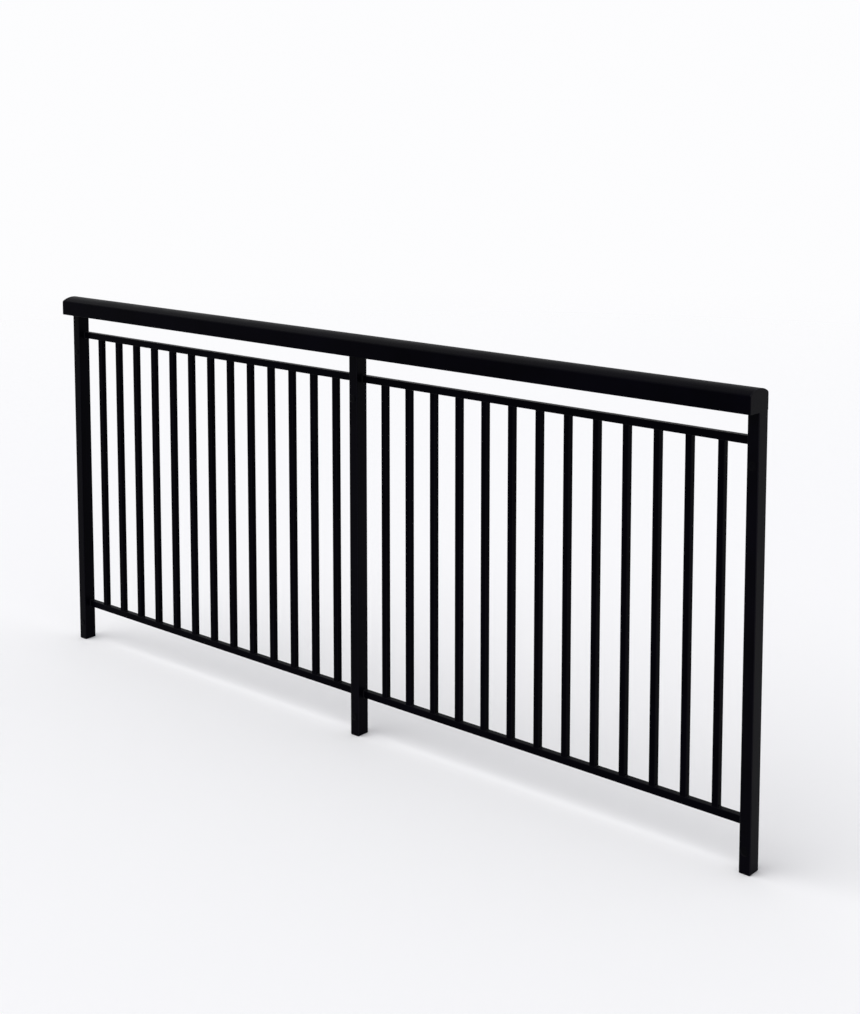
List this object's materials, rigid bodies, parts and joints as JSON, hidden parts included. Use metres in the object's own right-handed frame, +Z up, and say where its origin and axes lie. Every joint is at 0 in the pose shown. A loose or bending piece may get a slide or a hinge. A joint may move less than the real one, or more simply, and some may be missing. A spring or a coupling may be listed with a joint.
{
  "type": "juliet balcony",
  "caption": "Wall-held guard for a tall window or door: square balusters between box posts, under a deep handrail with a cambered top and an open slot.",
  "frame": {"origin": "on the flat back face of the middle post, on its centre line, level with the underside of the bottom rails", "axes": "+X along the balcony, to the right as seen from outside; +Y into the wall it is bolted to; +Z up"},
  "size_m": [2.862, 0.093, 1.309],
  "materials": {
    "frame_coat": "satin",
    "plug_plastic": "matte"
  },
  "bodies": {
    "root": {"handrail": "frame_coat", "handrail_end_left": "frame_coat", "handrail_end_right": "frame_coat", "post_left": "frame_coat", "post_middle": "frame_coat", "post_right": "frame_coat", "post_foot_left": "frame_coat", "post_foot_middle": "frame_coat", "post_foot_right": "frame_coat", "upper_rail_left": "frame_coat", "upper_rail_right": "frame_coat", "bottom_rail_left": "frame_coat", "bottom_rail_right": "frame_coat", "baluster_left_01": "frame_coat", "baluster_left_02": "frame_coat", "baluster_left_03": "frame_coat", "baluster_left_04": "frame_coat", "baluster_left_05": "frame_coat", "baluster_left_06": "frame_coat", "baluster_left_07": "frame_coat", "baluster_left_08": "frame_coat", "baluster_left_09": "frame_coat", "baluster_left_10": "frame_coat", "baluster_left_11": "frame_coat", "baluster_left_12": "frame_coat", "baluster_left_13": "frame_coat", "baluster_right_01": "frame_coat", "baluster_right_02": "frame_coat", "baluster_right_03": "frame_coat", "baluster_right_04": "frame_coat", "baluster_right_05": "frame_coat", "baluster_right_06": "frame_coat", "baluster_right_07": "frame_coat", "baluster_right_08": "frame_coat", "baluster_right_09": "frame_coat", "baluster_right_10": "frame_coat", "baluster_right_11": "frame_coat", "baluster_right_12": "frame_coat", "baluster_right_13": "frame_coat"}
  },
  "joints": []
}
